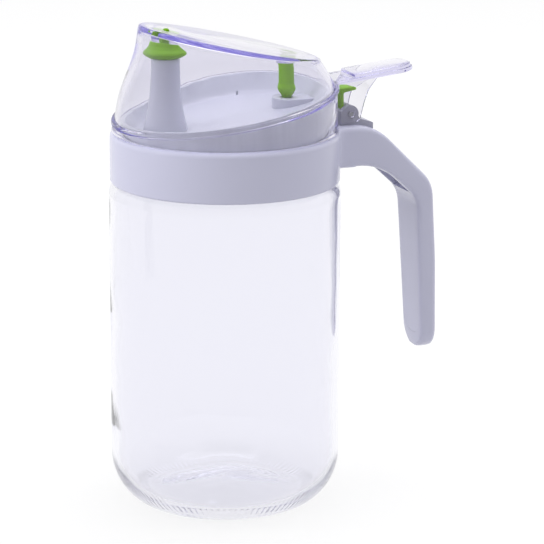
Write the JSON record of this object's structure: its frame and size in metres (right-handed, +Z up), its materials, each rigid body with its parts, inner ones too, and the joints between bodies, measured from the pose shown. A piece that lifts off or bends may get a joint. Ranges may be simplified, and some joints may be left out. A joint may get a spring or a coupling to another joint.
{
  "type": "oil dispenser bottle",
  "caption": "Wide-mouth glass jar with a screw-on white pouring head, side strap handle, pouring spout and a clear thumb-lever lid with green stoppers.",
  "frame": {"origin": "centre of the ring that the jar stands on, on the jar's axis", "axes": "+Z up along the jar's axis; +X towards the handle and the hinge, so the spout is towards -X; +Y across the handle"},
  "size_m": [0.1327, 0.09, 0.1899],
  "materials": {
    "glass": "clear, polished",
    "clear_plastic": "clear moulded plastic with a faint lavender tint",
    "white_plastic": "smooth semi-gloss moulding",
    "green_silicone": "satin silicone rubber",
    "seal_rubber": "matt white seal rubber",
    "pin_steel": "drawn steel wire"
  },
  "bodies": {
    "jar": {"glass_jar": "glass"},
    "seal": {"jar_seal": "seal_rubber"},
    "head": {"collar_handle": "white_plastic", "handle_cover": "white_plastic", "pour_insert": "white_plastic", "hinge_pin": "pin_steel", "return_strap": "green_silicone"},
    "lid": {"lid": "clear_plastic", "spout_plug": "green_silicone", "vent_plug": "green_silicone"}
  },
  "joints": [
    {"name": "head_rise", "type": "slide", "parent": "jar", "child": "seal", "axis": [0, 0, 1], "range_m": [0, 0.0145]},
    {"name": "head_turn", "type": "hinge", "parent": "seal", "child": "head", "pos_m": [0, 0, 0.135], "axis": [0, 0, 1], "range_deg": [0, 270]},
    {"name": "lid_hinge", "type": "hinge", "parent": "head", "child": "lid", "pos_m": [0.0495, 0, 0.1519], "axis": [0, 1, 0], "range_deg": [0, 62], "stiffness_Nm_per_rad": 0.05, "springref_deg": -22.92, "deforming": ["return_strap"]}
  ],
  "couplings": [
    {"joint": "head_rise", "follows": "head_turn", "m_per_rad": 0.0030558}
  ]
}
